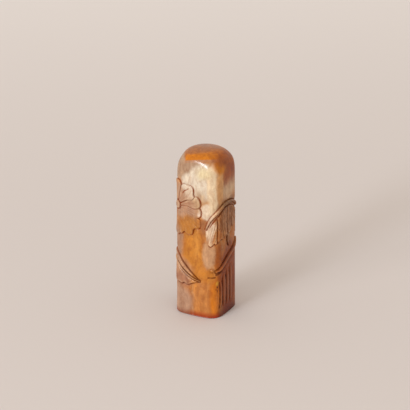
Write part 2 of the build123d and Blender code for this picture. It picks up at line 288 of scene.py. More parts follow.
streak = place.moved("MULTIPLY", (0.33, 0.33, 0.05)).noise(1.0, 4.0, 0.6)
tint = tree.node(
    "ShaderNodeValToRGB",
    {0: streak},
    {
        "stops": [
            (0.28, paint(140, 78, 36)),
            (0.42, paint(168, 98, 38)),
            (0.50, paint(176, 112, 54)),
            (0.58, paint(174, 124, 82)),
            (0.70, paint(188, 146, 112)),
        ]
    },
)
# Zones: middle, reach, softness of the edge, colour, share, and how far its edge wanders
zones = [
    # Back and left sides: pale veils and a darker band
    ((-11.0, 3.0, 42.0), (4.0, 8.0, 13.0), 0.40, (180, 134, 96), 0.85, 1.2),
    ((1.0, 11.0, 20.0), (9.0, 4.0, 9.0), 0.40, (150, 82, 38), 0.85, 1.2),
    ((2.0, 10.0, 55.0), (9.0, 5.0, 7.5), 0.35, (196, 164, 126), 0.85, 1.2),
    ((-11.0, 1.0, 12.0), (4.0, 9.0, 9.0), 0.40, (166, 116, 82), 0.85, 1.0),
    # Right face: red-brown low half, dull leaf, pale band, brown rim, shoulder and dark foot
    ((12.5, 1.0, 15.5), (4.8, 10.5, 18.0), 0.20, (130, 54, 3), 0.95, 0.5),
    ((12.5, 1.0, 41.0), (4.6, 10.5, 8.5), 0.25, (154, 104, 70), 0.95, 0.8),
    ((12.5, 1.0, 52.0), (4.6, 10.5, 5.0), 0.40, (202, 170, 136), 0.95, 0.9),
    ((11.5, -3.0, 46.4), (3.2, 6.5, 1.9), 0.50, (134, 98, 62), 0.8, 0.4),
    ((12.5, 2.4, 58.8), (5.0, 8.5, 6.0), 0.55, (146, 66, 8), 1.0, 1.2),
    ((12.5, 0.0, 0.5), (4.8, 12.0, 4.0), 0.50, (104, 32, 6), 0.85, 0.4),
    # Front face, from the foot up: mauve tan, orange, saturated orange, flat tan
    ((-7.0, -10.5, 5.5), (6.4, 4.0, 6.8), 0.30, (166, 126, 100), 0.95, 0.6),
    ((3.8, -10.6, 9.0), (4.6, 4.0, 12.5), 0.30, (182, 115, 56), 0.95, 0.8),
    ((8.4, -8.6, 9.5), (1.7, 2.2, 10.0), 0.55, (196, 108, 8), 0.85, 0.5),
    # Mauve-grey tan up the left edge of the front: partly the stone's veil, partly painted sheen
    ((-8.0, -9.5, 29.0), (3.0, 3.6, 8.0), 0.40, (156, 115, 88), 0.9, 0.6),
    ((-0.6, -10.8, 25.5), (4.6, 4.0, 13.0), 0.25, (184, 114, 38), 0.95, 0.7),
    ((1.0, -10.8, 30.0), (1.2, 3.0, 7.0), 0.50, (196, 128, 52), 0.8, 0.5),
    ((6.3, -10.2, 26.5), (3.1, 3.4, 6.6), 0.22, (184, 138, 100), 0.95, 0.6),
    ((9.7, -7.2, 25.0), (1.6, 2.2, 10.5), 0.40, (152, 76, 14), 0.9, 0.4),
    ((5.5, -10.4, 17.5), (3.4, 3.2, 2.8), 0.50, (184, 113, 36), 0.9, 0.6),
    ((-5.4, -10.4, 19.0), (4.8, 4.0, 4.6), 0.40, (176, 128, 94), 0.85, 0.6),
    ((-5.6, -10.0, 14.6), (4.2, 3.6, 2.8), 0.40, (154, 104, 78), 0.85, 0.5),
    ((9.3, -8.0, 14.6), (0.7, 1.1, 1.1), 0.60, (212, 156, 50), 0.8, 0.2),
    # Blossom: pink tan, a pale yellow patch at the left corner that is painted highlight along that
    # edge, amber in its skirt, a white spot at one tip
    ((-4.5, -10.5, 47.5), (7.0, 5.0, 7.5), 0.25, (165, 125, 98), 0.92, 0.6),
    ((-3.2, -10.8, 38.0), (4.8, 3.6, 4.8), 0.30, (166, 104, 40), 0.9, 0.7),
    ((-10.4, -6.5, 50.0), (1.8, 3.2, 5.0), 0.50, (198, 156, 104), 0.8, 0.5),
    ((4.0, -10.5, 38.5), (1.6, 2.6, 3.6), 0.50, (152, 98, 60), 0.8, 0.5),
    # Mauve veil under the dome, a painted reflection of the room, and the cream cloud over the
    # upper front with its tan patches
    ((-5.0, -7.0, 61.2), (8.5, 9.0, 5.6), 0.25, (164, 131, 104), 0.95, 0.6),
    ((3.6, -10.5, 56.0), (6.4, 5.5, 7.4), 0.16, (211, 194, 171), 0.97, 1.0),
    ((-2.8, -10.5, 55.4), (3.6, 4.0, 3.8), 0.25, (208, 190, 168), 0.95, 0.9),
    ((2.6, -10.6, 49.0), (2.8, 3.0, 3.6), 0.50, (176, 140, 104), 0.85, 0.9),
    ((5.3, -10.2, 44.2), (3.2, 3.0, 3.4), 0.25, (214, 192, 166), 0.95, 0.6),
    ((7.8, -9.2, 54.0), (2.1, 2.8, 11.5), 0.30, (221, 194, 158), 0.9, 0.5),
    ((4.2, -10.4, 59.8), (3.6, 3.4, 2.4), 0.50, (208, 186, 142), 0.8, 0.6),
    ((7.3, -9.7, 37.2), (2.2, 2.4, 5.0), 0.35, (216, 190, 162), 0.9, 0.8),
    ((-2.4, -10.8, 51.8), (2.4, 3.0, 2.6), 0.50, (206, 180, 154), 0.8, 0.5),
    ((2.1, -10.8, 43.2), (0.8, 2.2, 0.9), 0.60, (222, 196, 172), 0.8, 0.3),
    # Amber on the front right corner: a column up its edge, and the shoulder over it
    ((10.0, -6.2, 54.0), (1.7, 2.4, 8.5), 0.30, (202, 150, 96), 0.9, 0.3),
    ((9.8, -5.0, 62.6), (3.0, 3.2, 3.2), 0.40, (192, 114, 6), 0.95, 0.3),
]
for middle, reach, soft, shade, share, wander in zones:
    spot = raw.moved("ADD", drift.moved("MULTIPLY", (wander,) * 3))
    spot = spot.moved("ADD", fine_drift.moved("MULTIPLY", (wander,) * 3))
    tint = tint.mixed(colour(*shade), blotch(spot, middle, reach, soft) * share)

# The dome's layers sag towards the rim and lean: orange-brown over an amber ring. A mauve band
# under them and the mauve on top are painted reflections of the room on the polish.
# Each pair of numbers is where an edge begins and where it is full.
slide = raw.towards((0.88, 0.47, 0.0))
level = raw.moved("ADD", drift.moved("MULTIPLY", (0.0, 0.0, 0.08))).axis(2)
level = level + slide * slide * 0.017 - slide * 0.05
reflection_floor, brown_floor = (63.9, 64.4), (65.3, 65.9)
ring_floor, ring_top = (64.85, 65.1), (66.45, 66.95)
layer_end, ring_end = (-8.7, -7.7), (-8.2, -7.5)
ring = level.ease(*ring_floor) * (1 - level.ease(*ring_top)) * slide.ease(*ring_end)
layered = slide.ease(*layer_end)
# Painted reflection: a mauve-tan band low on the dome's left
tint = tint.mixed(colour(170, 118, 84), level.ease(*reflection_floor) * layered * 0.7)
tint = tint.mixed(colour(160, 94, 40), level.ease(*brown_floor) * layered * 0.95)
tint = tint.mixed(colour(190, 108, 4), ring * 0.97)
tint = tint.mixed(colour(150, 74, 8), blotch(raw, (9.5, 1.0, 64.6), (4.4, 10.0, 3.0), 0.5) * 0.95)
# Painted reflection: mauve over the top of the dome
reflected_cap = blotch(place, (-1.9, 3.8, 66.8), (6.0, 3.6, 1.4), 0.6)
tint = tint.mixed(colour(160, 112, 84), reflected_cap * 0.9)

# Upright veins, clouds and streaks inside the stone
vein = place.moved("MULTIPLY", (0.75, 0.75, 0.045)).noise(1.0, 3.0, 0.55)
cloud = place.moved("MULTIPLY", (0.5, 0.5, 0.3)).noise(1.0, 2.0, 0.5)
grain = place.moved("MULTIPLY", (0.9, 0.9, 0.22)).noise(1.0, 3.0, 0.6)
for field, pale, dark in ((vein, 0.25, 0.25), (cloud, 0.35, 0.3), (grain, 0.35, 0.2)):
    tint = tint.mixed((1.35, 1.34, 1.30, 1.0), field.ease(0.48, 0.68) * pale, "MULTIPLY")
    tint = tint.mixed(colour(208, 172, 146), (1 - field.ease(0.32, 0.50)) * dark, "MULTIPLY")
tint = tint.mixed((0.96, 0.975, 0.98, 1.0), 1.0, "MULTIPLY")

# Crests carry a painted highlight, screened on, and weaker over the shaded right face and low
# down; the cut lines hold a red stain, with painted shade darkening it there.
cut = tree.node("ShaderNodeAttribute", {}, {"attribute_name": "cut"}, 2)
crest = tree.node("ShaderNodeAttribute", {}, {"attribute_name": "crest"}, 2)
sideways, height_up = raw.axis(0), raw.axis(2)
patchy = raw.noise(0.55, 2.0, 0.5).ease(0.3, 0.7)
stain = cut.ease(0.05, 0.80) * (0.6 + patchy * 0.4)
shady = (sideways.ease(7.5, 10.5) + (1 - height_up.ease(20.0, 32.0)) * 0.6).ease(0.0, 1.0)
tint = tint.mixed(colour(146, 120, 92), crest * (0.3 + grain) * (1 - shady * 0.6), "SCREEN")
tint = tint.mixed(colour(138, 57, 16), stain * (1 - shady) * 0.92)
tint = tint.mixed(colour(80, 30, 12), stain * shady * 0.92)

# The foot is darker, and red-orange along the front; its sunken field keeps red paste
glowing = sideways.ease(-4.0, 1.0) * (1 - sideways.ease(8.8, 9.8))
tint = tint.mixed(colour(184, 66, 14), (1 - height_up.ease(0.4, 3.2)) * glowing * 0.6)
tint = tint.mixed(colour(206, 166, 156), 1 - height_up.ease(0.2, 3.0), "MULTIPLY")
apart = raw.moved("ABSOLUTE", (0.0, 0.0, 0.0))
aside = tree.maths("MAXIMUM", apart.axis(0), apart.axis(1))
inked = (1 - height_up.ease(0.85, 0.95)) * (1 - aside.ease(8.4, 8.8)) * (0.35 + patchy * 0.6)
tint = tint.mixed(colour(168, 44, 28), inked)

rough = 0.30 + grain * 0.10 + stain * 0.25
bump_height = grain * 0.6 + raw.noise(2.2, 2.0, 0.5) * 0.4
bump = tree.node("ShaderNodeBump", {"Strength": 0.05, "Distance": 0.0001, "Height": bump_height})
fill(
    shader,
    {
        "Base Color": tint,
        "Roughness": rough,
        "Normal": bump,
        "Coat Weight": 0.66 - stain * 0.5,
        "Coat Roughness": 0.2,
        "IOR": 1.54,
        "Specular IOR Level": 0.0,
    },
)

# Blossom: a full, ragged flower laid over the front left corner, each petal left standing and
# rounded over while the ground round it is cut back. Fine lines run down each petal, and some
# tips are turned over.
heart, heart_size, seed_waves = np.array([-8.23, 45.3]), 3.6, 5.72
petal_root, petal_high, petal_lobes, scored_petals = 1.95, 0.30, 2, 9
# Cuts round every raised shape: a fine line at its edge, the ground beside it, a hollow below
line_reach, line_depth = 0.3, 0.14
ground_reach, ground_depth = 2.0, 0.24
hollow_reach, hollow_depth = 0.4, 0.5
# A raised shape's rim and underside below the skin, and the painted highlight beside its rim
sunk_rim, firm_sink, skirt_depth = 0.08, 0.38, 0.8
highlight_place, highlight_width, highlight_share = 0.8, 0.38, 0.8
line_points, spot_points, crowding = 96, 36, 0.65


def smooth_line(points):
    """Line through points, evenly spaced in length: a cubic between each two, whose slopes are
    those of the parabola through each point and its neighbours."""
    p = np.asarray(points, float)
    t = np.r_[0, np.cumsum(np.hypot(*np.diff(p, axis=0).T))]
    slope = np.gradient(p, t, axis=0)
    x = np.linspace(0, t[-1], 6 * line_points)
    i = np.clip(np.searchsorted(t, x, side="right") - 1, 0, len(t) - 2)
    h = (t[i + 1] - t[i])[:, None]
    w = ((x - t[i]) / (t[i + 1] - t[i]))[:, None]
    fine = (1 + 2 * w) * (1 - w) ** 2 * p[i] + w * (1 - w) ** 2 * h * slope[i]
    fine += w * w * (3 - 2 * w) * p[i + 1] + w * w * (w - 1) * h * slope[i + 1]
    length = np.r_[0, np.cumsum(np.hypot(*np.diff(fine, axis=0).T))]
    even = np.linspace(0, length[-1], line_points)
    return np.c_[np.interp(even, length, fine[:, 0]), np.interp(even, length, fine[:, 1])]


def at_share(line, share):
    """Points at shares of a line's length."""
    place = np.asarray(share) * (len(line) - 1)
    steps = np.arange(len(line))
    return np.stack([np.interp(place, steps, line[:, 0]), np.interp(place, steps, line[:, 1])], -1)


def clear_of(line, along, up, closed=False):
    """Distance from places to a line of points. If the line is closed, also whether each place
    lies inside it, and which point of the line is nearest. Inside means that a ray along the
    girth crosses the line an odd number of times."""
    a = np.asarray(line)
    b = np.roll(a, -1, axis=0) if closed else a[1:]
    a = a if closed else a[:-1]
    shape = np.shape(along)
    p = np.stack([np.ravel(along), np.ravel(up)], -1)[:, None]
    run = b - a
    share = np.clip(((p - a) * run).sum(-1) / np.maximum((run**2).sum(-1), 1e-12), 0, 1)
    squares = (((p - a) - share[..., None] * run) ** 2).sum(-1)
    distance = np.sqrt(squares.min(1)).reshape(shape)
    if not closed:
        return distance
    across = (a[:, 1] > p[..., 1]) != (b[:, 1] > p[..., 1])
    slope = run[:, 0] / np.where(run[:, 1] == 0, 1e-12, run[:, 1])
    crossed = across & (p[..., 0] < a[:, 0] + (p[..., 1] - a[:, 1]) * slope)
    inside = (crossed.sum(1) % 2 == 1).reshape(shape)
    return distance, inside, squares.argmin(1).reshape(shape)


def near_stone(line, margin):
    """Rows and columns of the stone's grid near a line, and their places, moved to the line's own
    turn of the girth."""
    a = np.asarray(line)
    turn = 4 * pitch
    middle = (a[:, 0].min() + a[:, 0].max()) / 2
    along = stone_along + turn * np.round((middle - stone_along) / turn)
    inside = (along > a[:, 0].min() - margin) & (along < a[:, 0].max() + margin)
    inside &= (stone_up > a[:, 1].min() - margin) & (stone_up < a[:, 1].max() + margin)
    rows, columns = np.nonzero(inside)
    return rows, columns, along[rows, columns], stone_up[rows, columns]


def clear_ground(outline, weight):
    """Cut the ground back round an outline: deepest beside it, fading out over a reach, with a
    fine line along the outline itself, and a hollow under the raised shape. The weight of each
    point of the outline lets the cut run out where the shape sinks into the stone."""
    thin = np.asarray(outline)[::2]
    rows, columns, along, up = near_stone(thin, ground_reach + 0.5)
    distance, inside, nearest = clear_of(thin, along, up, closed=True)
    strength = np.asarray(weight)[::2][nearest]
    fade = np.clip(1 - distance / ground_reach, 0, 1)
    fade = fade * fade * (3 - 2 * fade) * strength
    line = np.exp(-((distance / line_reach) ** 2))
    beside = -ground_depth * fade - line_depth * strength * line
    under = np.clip(distance / hollow_reach, 0, 1)
    under = under * under * (3 - 2 * under)
    out = np.where(inside, beside * (1 - under) - hollow_depth * under, beside)
    stone_out[rows, columns] = np.minimum(stone_out[rows, columns], out)
    cut = np.where(inside, strength, strength * line)
    stone_cut[rows, columns] = np.maximum(stone_cut[rows, columns], cut)


def grid_faces(rows, columns, wrap=False):
    """Corners of the quads of a grid of points, row by row; wrap joins the last column to the
    first."""
    i = np.arange(rows - 1)[:, None] * columns
    j = np.arange(columns if wrap else columns - 1)
    k = (j + 1) % columns
    return np.stack([i + j, i + k, i + columns + k, i + columns + j], -1).reshape(-1, 4)


def make_piece(name, points, faces, fields, nodes):
    """Smooth-shaded object from points in metres, with a value per point for each named field."""
    mesh = bpy.data.meshes.new(name)
    mesh.from_pydata(points, [], faces)
    for field, values in fields.items():
        attribute = mesh.attributes.new(field, "FLOAT", "POINT")
        attribute.data.foreach_set("value", np.ravel(values).astype(np.float32))
    mesh.polygons.foreach_set("use_smooth", np.ones(len(mesh.polygons), bool))
    mesh.materials.append(stone)
    mesh.update()
    piece = bpy.data.objects.new(name, mesh)
    bpy.context.scene.collection.objects.link(piece)
    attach(piece, "root")
    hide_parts(*nodes)


def edge_distance(along, up):
    """Distance of each point of a patch's grid from its rim, along its rows and columns."""
    nearest = np.full(along.shape, 1e9)
    for axis in (0, 1):
        step = np.hypot(np.diff(along, axis=axis), np.diff(up, axis=axis))
        pad = [(0, 0), (0, 0)]
        pad[axis] = (1, 0)
        run = np.pad(np.cumsum(step, axis=axis), pad)
        total = run.max(axis=axis, keepdims=True)
        nearest = np.minimum(nearest, np.minimum(run, total - run))
    return nearest


def rim_of(grid):
    """A grid's values round its rim, in order: along one side, down, back and up again."""
    return np.concatenate([grid[0], grid[1:, -1], grid[-1, -2::-1], grid[-2:0:-1, 0]])


def raise_patch(
    name, along, up, top, nodes, finish, lines=(),
    round_over=0.6, edge=1.0, groove=1.0, pale=0.0, fine=line_reach,
):
    """Raised shape of the relief over a grid of places. Its top is sunk at the rim and rolls over
    to the given height above the skin; scored lines are cut into it; the ground is cleared round
    it. Where its edge is less than 1, the shape and its line run out into the stone; where its
    groove is less than 1, it runs on into its neighbour. Beside the rim, and where pale is given,
    the top gets a painted highlight that makes it paler."""
    edge = edge + 0 * along
    rim = np.stack([rim_of(along), rim_of(up)], -1)
    distance = edge_distance(along, up)
    roll = 1 - groove * (1 - np.sin(math.pi / 2 * np.clip(distance / round_over, 0, 1)))
    sink = sunk_rim + firm_sink * edge
    out = -sink + (sink + top * edge) * roll
    cut = edge * groove * np.exp(-((distance / fine) ** 2))
    # Painted highlight: a paler band beside the rim, plus the pale given
    beside = np.exp(-(((distance - highlight_place) / highlight_width) ** 2))
    crest = highlight_share * edge * groove**2 * beside + pale
    for line, depth, width in lines:
        mark = np.exp(-((clear_of(line, along, up) / width) ** 2))
        out = out - depth * mark * roll
        cut = np.maximum(cut, mark * np.clip(depth / line_depth, 0, 1))
        crest = crest * (1 - mark)
    rows, columns = along.shape
    upper = skin(along, up, out).reshape(-1, 3)
    lower = skin(along, up, -skirt_depth).reshape(-1, 3)
    faces = grid_faces(rows, columns)
    area = np.sum(rim[:, 0] * np.roll(rim[:, 1], -1) - np.roll(rim[:, 0], -1) * rim[:, 1])
    ring = np.concatenate([
        np.arange(columns),
        np.arange(2, rows + 1) * columns - 1,
        (rows - 1) * columns + np.arange(columns - 2, -1, -1),
        np.arange(rows - 2, 0, -1) * columns,
    ])
    after = np.roll(ring, -1)
    count = rows * columns
    wall = np.stack([ring, ring + count, after + count, after], -1)
    faces = np.concatenate([faces, faces[:, ::-1] + count, wall])
    if area < 0:
        faces = faces[:, ::-1]
    clear_ground(rim, rim_of(edge))
    fields = {
        "cut": np.concatenate([cut.ravel(), np.ones(count)]),
        "crest": np.concatenate([np.clip(crest, 0, 1).ravel(), np.zeros(count)]),
    }
    make_piece(name, np.concatenate([upper, lower]), faces.tolist(), fields, nodes)


def eased(count):
    """Shares from 0 to 1 that crowd towards both ends, for rows that follow a rolled rim."""
    t = np.linspace(0, 1, count)
    return (1 - crowding) * t + crowding * (0.5 - 0.5 * np.cos(math.pi * t))


def four_sided(left, right, root, tip, across=40, along_rows=56):
    """Grid of places inside four lines: both pairs of sides blended, less the corners' blend.
    Its shares run from root to tip and from left to right."""
    u, v = eased(along_rows)[:, None], eased(across)[None, :]
    l, r = at_share(left, u[:, 0])[:, None], at_share(right, u[:, 0])[:, None]
    b, t = at_share(root, v[0])[None], at_share(tip, v[0])[None]
    u, v = u[..., None], v[..., None]
    corners = (1 - u) * (1 - v) * left[0] + (1 - u) * v * right[0]
    corners = corners + u * (1 - v) * left[-1] + u * v * right[-1]
    grid = (1 - v) * l + v * r + (1 - u) * b + u * t - corners
    return grid[..., 0], grid[..., 1], u[..., 0], v[..., 0]


def arch(v):
    """Height of an arch at a share of its span: 0 at both ends and 1 halfway."""
    return 4 * v * (1 - v)


def between(left, right, at, share):
    """Place between two lines, each taken at the same share of its length."""
    return at_share(left, at) * (1 - share) + at_share(right, at) * share


def spoke(degrees, length):
    """Line out from the heart, bent a little halfway, to a side that differs with its angle."""
    a = math.radians(degrees)
    way = np.array([math.cos(a), math.sin(a)])
    bend = np.array([-way[1], way[0]]) * 0.3 * math.sin(degrees)
    halfway = heart + way * (petal_root + length) / 2 + bend
    return smooth_line([heart + way * petal_root, halfway, heart + way * length])


def lobed_tip(start, end, reach):
    """Scalloped outer edge between two spokes' ends: a circle about the heart, cut into lobes."""
    a0, a1 = [math.atan2(*(p - heart)[::-1]) for p in (start, end)]
    a1 += 2 * math.pi * (a1 < a0)
    r0, r1 = [np.hypot(*(p - heart)) for p in (start, end)]
    v = np.linspace(0, 1, line_points)
    a = a0 + (a1 - a0) * v
    scallop = np.abs(np.sin(math.pi * petal_lobes * v)) ** 0.6 * (1 - 0.3 * (2 * v - 1) ** 2)
    r = r0 + (r1 - r0) * v + (reach - (r0 + r1) / 2) * scallop
    return heart + np.stack([np.cos(a), np.sin(a)], -1) * r[:, None]


petal_sides = [
    smooth_line([(-6.45, 44.6), (-4.0, 43.7), (-1.4, 42.5), (1.8, 41.3)]),
    smooth_line([(-6.3, 45.3), (-3.2, 45.5), (0.0, 44.9), (2.3, 45.6)]),
    smooth_line([(-6.5, 46.2), (-5.0, 47.0), (-3.0, 47.9), (-0.8, 48.3), (0.2, 49.6)]),
    smooth_line([(-7.8, 47.2), (-7.2, 49.5), (-6.5, 52.0), (-5.9, 53.8)]),
    spoke(114, 9.9),
    spoke(148, 9.6),
    spoke(182, 9.8),
    spoke(214, 10.2),
    spoke(246, 10.6),
    smooth_line([(-8.0, 43.4), (-7.7, 40.0), (-7.1, 36.5), (-6.6, 33.9)]),
    smooth_line([(-6.8, 44.0), (-4.3, 41.7), (-1.2, 39.3), (1.0, 38.0), (2.45, 37.2)]),
]
petal_tips = [
    smooth_line([(1.8, 41.3), (2.7, 42.0), (3.1, 43.4), (2.9, 44.8), (2.3, 45.6)]),
    smooth_line([
        (2.3, 45.6), (2.8, 46.6), (2.75, 48.0), (2.2, 49.2), (1.2, 50.1), (0.5, 50.1),
        (0.2, 49.6),
    ]),
    smooth_line([
        (0.2, 49.6), (-0.35, 50.6), (-0.35, 52.2), (-0.7, 53.6), (-1.8, 54.3), (-3.2, 54.3),
        (-4.4, 54.6), (-5.3, 54.3), (-5.9, 53.8),
    ]),
    smooth_line([
        (-5.9, 53.8), (-6.5, 55.1), (-7.7, 55.7), (-9.3, 55.6), (-10.6, 55.4), (-11.6, 54.9),
        (-12.26, 54.34),
    ]),
]
for k, reach in enumerate([11.4, 11.4, 11.6, 12.0, 12.4], start=4):
    petal_tips.append(lobed_tip(petal_sides[k][-1], petal_sides[k + 1][-1], reach))
petal_tips += [
    smooth_line([
        (-6.6, 33.9), (-5.7, 33.6), (-4.9, 34.3), (-4.2, 34.9), (-3.5, 34.3), (-2.2, 33.8),
        (-0.9, 34.2), (-0.4, 35.3), (-0.15, 36.4), (0.6, 36.95), (1.6, 36.95), (2.45, 37.2),
    ]),
    smooth_line([(2.45, 37.2), (2.85, 38.2), (2.8, 39.6), (2.6, 40.8), (1.8, 41.3)]),
]
# How firmly each side's groove is cut, and each tip along its width
side_firmness = [0.08, 0.45, 0.85, 0.7, 0.75, 0.6, 0.75, 0.6, 0.8, 0.2, 0.05]
tip_firmness = [
    [1.0, 1.0, 1.0, 0.9, 0.7],
    [0.7, 0.9, 1.0, 0.9, 0.6, 0.4],
    [0.6, 1.0, 1.0, 1.0, 0.7, 0.4, 0.4, 0.5, 0.8],
    [0.9, 0.7, 0.8, 1.0],
    *[[1.0, 0.8, 1.0]] * 5,
    [1.0, 1.0, 1.0, 1.0, 0.6, 0.4, 0.5, 0.9, 1.0, 1.0, 1.0, 0.9],
    [0.8, 0.4, 0.4, 0.5, 0.9],
]


def side_groove(u, v, left, right):
    """How deep the groove to each neighbour is cut: a side's own share on its half of the petal,
    and full at the heart and the tip."""
    share = left + (right - left) * np.clip(2.5 * v - 0.75, 0, 1)
    ends = np.clip(1 - np.minimum(u, 1 - u) / 0.08, 0, 1)
    return share + (1 - share) * ends


def tip_edge(u, v, tip):
    """How firmly a petal's tip is cut along its width, rising to 1 a fifth of the way in."""
    end = np.interp(v, np.linspace(0, 1, len(tip)), tip)
    return end + (1 - end) * np.clip((1 - u) / 0.2, 0, 1)


# Scored lines of single petals: the line, its depth and its width
petal_marks = {
    1: [(smooth_line([(-4.6, 46.3), (-2.0, 46.9), (0.6, 47.2)]), 0.05, 0.22)],
    2: [
        (smooth_line([(-5.2, 50.6), (-4.4, 51.7), (-3.3, 52.3), (-2.6, 52.9)]), 0.2, 0.2),
        (smooth_line([(-3.1, 49.2), (-2.3, 50.6), (-1.6, 52.2)]), 0.05, 0.2),
    ],
}
for k, tip in enumerate(petal_tips):
    after = (k + 1) % len(petal_sides)
    left, right = petal_sides[k], petal_sides[after]
    root = np.linspace(left[0], right[0], line_points)
    along, up, u, v = four_sided(left, right, root, tip)
    rise = 0.35 + 0.65 * u**0.7
    turned_over = np.exp(-(((u - 0.9) / 0.12) ** 2))
    waves = u * np.sin(2 * math.pi * (3.5 * v + 0.6 * np.sin(3 * u + k)))
    top = petal_high * rise * (0.75 + 0.25 * arch(v)) - 0.09 * arch(v) * arch(u)
    top = top + 0.12 * turned_over + 0.03 * waves
    # Paler stripes along the petal's wave crests: a painted highlight
    painted_highlight = np.clip(np.sin(2 * math.pi * (3.5 * v + 0.5 * np.sin(4 * u + k))), 0, 1) * u
    lines = list(petal_marks.get(k, []))
    for share in (0.33, 0.67) if k < scored_petals else ():
        low, high = between(left, right, 0.12, share), between(left, right, 0.45, share)
        scored = smooth_line([low, high, at_share(tip, share) * 0.62 + low * 0.38])
        lines.append((scored, 0.05, 0.16))
    raise_patch(
        f"petal_{k + 1:02d}", along, up, top, [f"blossom_petal_{k + 1:02d}"], "pale_stone", lines,
        edge=tip_edge(u, v, tip_firmness[k]),
        groove=side_groove(u, v, side_firmness[k], side_firmness[after]),
        pale=0.2 * painted_highlight,
    )


def spot_grid(middle, size):
    """Grid of places over a round spot, a square whose sides are bulged onto a circle, and a
    swelling that falls from 1 in its middle to 0 at its rim."""
    a, b = 2 * eased(spot_points)[:, None] - 1, 2 * eased(spot_points)[None, :] - 1
    along = middle[0] + size / 2 * a * np.sqrt(1 - 0.5 * b * b)
    up = middle[1] + size / 2 * b * np.sqrt(1 - 0.5 * a * a)
    return along, up, (1 - a * a) * (1 - b * b)


along, up, swell = spot_grid(heart, heart_size)
seed = np.cos(seed_waves * (along - heart[0])) * np.cos(seed_waves * (up - heart[1]))
top = 0.22 + 0.3 * swell + 0.05 * seed
raise_patch("blossom_heart", along, up, top, ["blossom_heart"], "pale_stone")

# Low leaf: a long pointed leaf lying across the front left corner, a raised midrib between two
# blades that are hollowed towards it, with side veins scored across them.
blade_gap, blade_points, ribbon_steps = 0.42, 90, 18
leaf_top = smooth_line([
    (-16.3, 24.6), (-13.5, 26.2), (-10.5, 26.4), (-7.3, 24.8), (-5.5, 22.6), (-4.0, 21.0),
    (-2.0, 19.0), (0.0, 17.3), (1.4, 16.1), (2.3, 15.4),
])
leaf_rib = smooth_line([
    (-17.2, 23.2), (-13.9, 23.7), (-10.5, 22.8), (-7.4, 20.8), (-5.2, 18.8), (-3.1, 17.3),
    (-1.1, 16.2), (0.9, 15.5), (2.6, 15.1),
])
leaf_foot = smooth_line([
    (-16.6, 21.5), (-14.1, 18.3), (-11.1, 14.8), (-8.3, 12.9), (-6.6, 13.0), (-5.5, 12.7),
    (-4.6, 13.3), (-3.0, 12.6), (-1.4, 13.4), (0.4, 14.2), (2.1, 14.7),
])


def shifted(line, distance):
    """Line beside another, at a distance to its left."""
    ahead = np.gradient(line, axis=0)
    ahead /= np.hypot(*ahead.T)[:, None]
    return line + np.stack([-ahead[:, 1], ahead[:, 0]], -1) * distance


def blade_grid(near, far, steps):
    """Grid of places from a leaf's midrib out to its edge, with a straight line at each end."""
    ends = [np.linspace(near[i], far[i], line_points) for i in (0, -1)]
    return four_sided(ends[0], ends[1], near, far, blade_points, steps)


def ribbon(path, half, rows=90):
    """Grid of places along a line, a half width to each side of it."""
    u, v = eased(rows)[:, None], eased(ribbon_steps)[None, :]
    middle = at_share(path, u[:, 0])[:, None]
    ahead = np.gradient(middle[:, 0], axis=0)
    ahead /= np.hypot(*ahead.T)[:, None]
    side = np.stack([-ahead[:, 1], ahead[:, 0]], -1)[:, None]
    grid = middle + side * (half(u) * (2 * v - 1))[..., None]
    return grid[..., 0], grid[..., 1], u, v


def tapered(half, ends, power=1.0):
    """Half width along a ribbon: full in its middle, and a share of that at its ends."""
    return lambda u: half * (ends + (1 - ends) * np.sin(math.pi * u) ** power)


def raise_ridge(name, line, half, base, swell, nodes, finish, lines=(), rows=90, **cuts):
    """Ridge along a line, arched across its width."""
    along, up, u, v = ribbon(line, half, rows)
    raise_patch(name, along, up, base + swell * arch(v), nodes, finish, lines, **cuts)


for name, way, far in (("low_leaf_upper", 1, leaf_top), ("low_leaf_lower", -1, leaf_foot)):
    near = shifted(leaf_rib, way * blade_gap)
    along, up, u, v = blade_grid(near, far, 34)
    waves = arch(u) * np.sin(2 * math.pi * (11 * v + 1.2 * u))
    veins = []
    for share in np.linspace(0.14, 0.86, 7):
        start, end = at_share(near, share - 0.05), at_share(far, min(share + 0.05, 0.97))
        veins.append((smooth_line([start, between(near, far, share, 0.5), end]), 0.05, 0.15))
    top = 0.10 + 0.24 * u**0.8 + 0.025 * waves
    raise_patch(name, along, up, top, [f"{name}_blade"], "body_stone", veins)
raise_ridge(
    "low_leaf_rib", leaf_rib, tapered(0.40, 0.45), 0.30, 0.10, ["low_leaf_midrib"], "body_stone",
    round_over=0.3, pale=0.9, fine=0.14,
)

# Blossom's stem: a plain rounded ridge that runs down the left face, past the leaf's base,
# left standing like the petals and worn a little uneven along its length.
stem_line = smooth_line(
    [(-12.83, 32.4), (-16.6, 28.6), (-18.93, 23.2), (-20.0, 13.0), (-20.13, 3.6)]
)
along, up, u, v = ribbon(stem_line, tapered(0.65, 0.75))
top = 0.18 + 0.3 * arch(v) + 0.04 * np.sin(9 * u)
raise_patch("blossom_stem", along, up, top, ["blossom_stem"], "body_stone")

# Drooping leaf: a lotus-like leaf over the front right corner. Its rolled rim arches over the
# top, and five lobes hang from it, each hollowed and scored with veins, with notched tips.
rim_line = smooth_line([
    (4.97, 37.1), (5.97, 39.65), (7.3, 41.8), (9.17, 43.6), (11.37, 45.2), (13.97, 46.2),
    (16.97, 46.4), (20.6, 45.9), (23.4, 44.6), (24.97, 42.5),
])
along, up, u, v = ribbon(rim_line, tapered(0.75, 0.5, 0.6), 120)
rolled = [(shifted(rim_line, 0.16)[6:-6], 0.07, 0.16)]
raise_patch(
    "leaf_rim", along, up, 0.26 + 0.34 * arch(v) ** 0.8, ["leaf_rim"], "pale_stone", rolled,
    pale=0.5 - 0.9 * np.clip(2 * u, 0, 1), fine=0.2,
)

